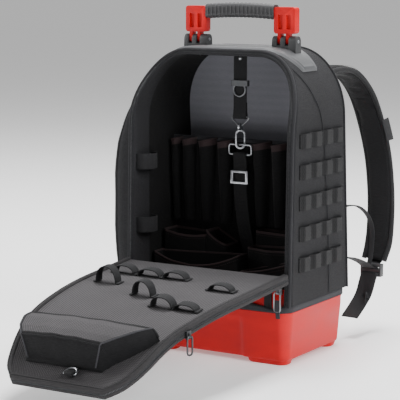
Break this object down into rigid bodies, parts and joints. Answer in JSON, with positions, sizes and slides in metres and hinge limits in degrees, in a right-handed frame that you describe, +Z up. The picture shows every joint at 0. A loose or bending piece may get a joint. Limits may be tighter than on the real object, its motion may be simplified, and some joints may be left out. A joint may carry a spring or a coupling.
{
  "type": "tool backpack",
  "caption": "Arched fabric tool backpack on a moulded tub, its pocketed front lid folded open, with a hinged carry handle, inside sleeves and shoulder straps.",
  "frame": {"origin": "on the floor below the middle of the whole object's bounding box", "axes": "+Z up, -Y towards the open front and its lid, +X towards the side with looped webbing"},
  "size_m": [0.4082, 0.8432, 0.6205],
  "materials": {
    "red_plastic": "satin",
    "black_plastic": "satin",
    "grey_plastic": "matte",
    "body_fabric": "coarse woven",
    "lid_fabric": "fine ribbed weave",
    "lining": "smooth woven",
    "webbing": "woven tape",
    "steel": "bright"
  },
  "bodies": {
    "pack": {"base_tub": "red_plastic", "handle_bracket_left": "black_plastic", "handle_bracket_right": "black_plastic", "strap_buckle_left": "black_plastic", "strap_buckle_right": "black_plastic", "top_plate": "grey_plastic", "body_wall": "body_fabric", "front_rim": "body_fabric", "back_panel": "body_fabric", "side_pocket": "body_fabric", "lid_rim": "body_fabric", "shoulder_strap_left": "body_fabric", "shoulder_strap_right": "body_fabric", "lid_panel": "lid_fabric", "lid_hinge": "lid_fabric", "lid_bellows_pocket": "lid_fabric", "tool_board": "lining", "tool_sleeves_left": "lining", "tool_sleeves_right": "lining", "middle_pocket": "lining", "low_pocket": "lining", "step_pocket": "lining", "tub_binding": "webbing", "webbing_row_1": "webbing", "webbing_row_2": "webbing", "webbing_row_3": "webbing", "webbing_row_4": "webbing", "webbing_row_5": "webbing", "wall_loop_upper": "webbing", "wall_loop_lower": "webbing", "centre_strap_upper": "webbing", "centre_strap_lower": "webbing", "lid_band_hinge": "webbing", "lid_band_torch": "webbing", "lid_band_edge": "webbing", "lid_band_driver": "webbing", "lid_band_rule": "webbing", "lid_tab": "webbing", "strap_webbing_left": "webbing", "strap_webbing_right": "webbing", "strap_tail_left": "webbing", "strap_tail_right": "webbing", "handle_pin_left": "steel", "handle_pin_right": "steel", "centre_strap_ring": "steel", "triangle_ring": "steel", "snap_hook": "steel", "wide_ring": "steel", "centre_strap_slider": "steel", "lid_ring": "steel", "ceiling_rivet_left": "steel", "ceiling_rivet_right": "steel", "frame_zip_slider": "steel", "lid_zip_slider": "steel"},
    "handle": {"handle_end_left": "red_plastic", "handle_end_right": "red_plastic", "handle_grip": "black_plastic"},
    "gate": {"snap_gate": "steel"}
  },
  "joints": [
    {"name": "handle_hinge", "type": "hinge", "parent": "pack", "child": "handle", "pos_m": [0.02019, 0.14481, 0.5535], "axis": [1, 0, 0], "range_deg": [-85, 85]},
    {"name": "gate_hinge", "type": "hinge", "parent": "pack", "child": "gate", "pos_m": [0.02624, 0.14638, 0.3724], "axis": [-0.6428, 0.766, 0], "range_deg": [-28, 0]}
  ]
}
